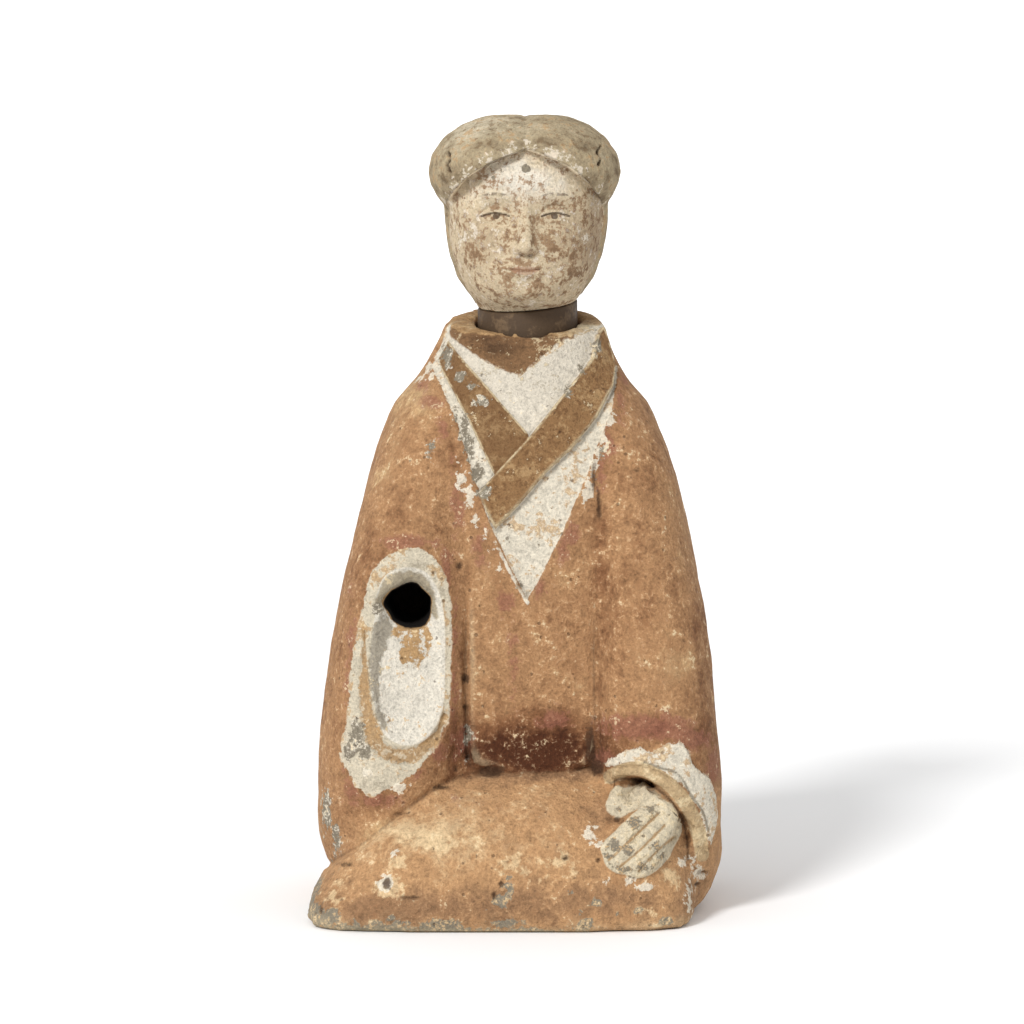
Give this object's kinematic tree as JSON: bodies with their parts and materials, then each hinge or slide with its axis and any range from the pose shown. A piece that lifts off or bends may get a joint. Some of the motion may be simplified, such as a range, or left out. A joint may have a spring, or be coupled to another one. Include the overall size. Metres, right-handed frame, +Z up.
{
  "type": "kneeling pottery figure",
  "caption": "Kneeling robed attendant in moulded, painted pottery with a separate head on a plain neck plug and one empty sleeve.",
  "frame": {"origin": "on the flat underside, below the middle of the shoulders", "axes": "+Z up, -Y to the figure's front, +X to the figure's left"},
  "size_m": [0.182, 0.1701, 0.35],
  "materials": {
    "painted_clay": "orange-buff fired clay with worn white, brown and purple paint",
    "plain_plug": "smooth grey-brown",
    "painted_head": "worn white slip with brown dirt, and grey-brown hair"
  },
  "bodies": {
    "root": {"body": "painted_clay", "neck_plug": "plain_plug", "head": "painted_head"}
  },
  "joints": []
}
